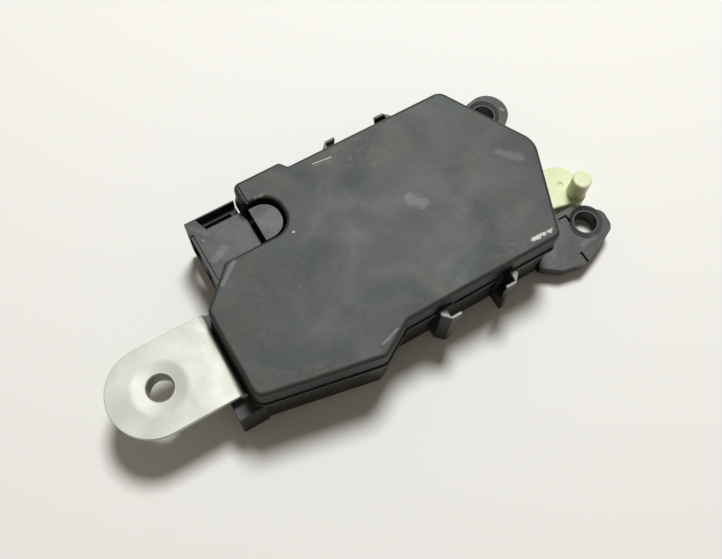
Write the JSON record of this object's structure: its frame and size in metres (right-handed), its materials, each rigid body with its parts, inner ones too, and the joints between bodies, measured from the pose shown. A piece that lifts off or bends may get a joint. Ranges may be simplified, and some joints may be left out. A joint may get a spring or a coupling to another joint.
{
  "type": "tailgate lock actuator",
  "caption": "Flat electric lock actuator with a clipped-on cover, side connector, steel mounting bracket, bolt ears and a swinging nylon output lever.",
  "frame": {"origin": "on the case's flat bottom face, under the middle of the housing", "axes": "+X from the steel bracket to the output lever, +Y towards the connector's side, +Z out of the cover"},
  "size_m": [0.1483, 0.0641, 0.026],
  "materials": {
    "case_plastic": "moulded black polypropylene",
    "cover_plastic": "moulded dark grey, satin and scuffed",
    "rubber": "matt",
    "tinned_brass": "tinned",
    "zinc_plated_steel": "satin zinc plate",
    "screw_steel": "zinc plated",
    "can_steel": "nickel plated",
    "cap_plastic": "moulded",
    "brass": "stamped",
    "ferrite": "sintered",
    "sintered_bronze": "oil filled",
    "shaft_steel": "ground",
    "white_plastic": "moulded acetal",
    "natural_nylon": "natural nylon, slightly translucent",
    "lamination_steel": "stacked laminations",
    "copper_wire": "enamelled"
  },
  "bodies": {
    "housing": {"case": "case_plastic", "cover": "cover_plastic", "perimeter_seal": "rubber", "connector_socket": "case_plastic", "connector_terminals": "tinned_brass", "mounting_bracket": "zinc_plated_steel", "bracket_screws": "screw_steel", "motor_can": "can_steel", "motor_end_cap": "cap_plastic", "motor_tabs": "brass", "motor_magnets": "ferrite", "motor_brushes": "brass", "motor_pad": "rubber", "worm_bush": "sintered_bronze", "wheel_axle": "shaft_steel", "wheel_washer": "white_plastic", "output_bush": "sintered_bronze", "shaft_seal": "rubber", "bump_stops": "rubber", "contact_carrier": "cap_plastic", "contact_strips": "brass"},
    "rotor": {"motor_shaft": "shaft_steel", "armature_core": "lamination_steel", "armature_windings": "copper_wire", "commutator": "copper_wire", "worm": "white_plastic"},
    "wheel": {"worm_wheel": "white_plastic"},
    "output": {"sector_gear": "white_plastic", "output_shaft": "shaft_steel", "output_lever": "natural_nylon", "lever_screw": "screw_steel", "wiper_contact": "brass"}
  },
  "joints": [
    {"name": "lever_swing", "type": "hinge", "parent": "housing", "child": "output", "pos_m": [0.044, -0.004, 0.01], "axis": [0, 0, 1], "range_deg": [0, 38]},
    {"name": "wheel_spin", "type": "hinge", "parent": "housing", "child": "wheel", "pos_m": [0.01664, 0.0059, 0.012], "axis": [0, 0, 1], "range_deg": [-182.4, 0]},
    {"name": "worm_spin", "type": "hinge", "parent": "housing", "child": "rotor", "pos_m": [0, -0.01, 0.012], "axis": [1, 0, 0], "range_deg": [0, 2188.8]}
  ],
  "couplings": [
    {"joint": "wheel_spin", "follows": "lever_swing", "ratio": -4.8},
    {"joint": "worm_spin", "follows": "lever_swing", "ratio": 57.6}
  ]
}
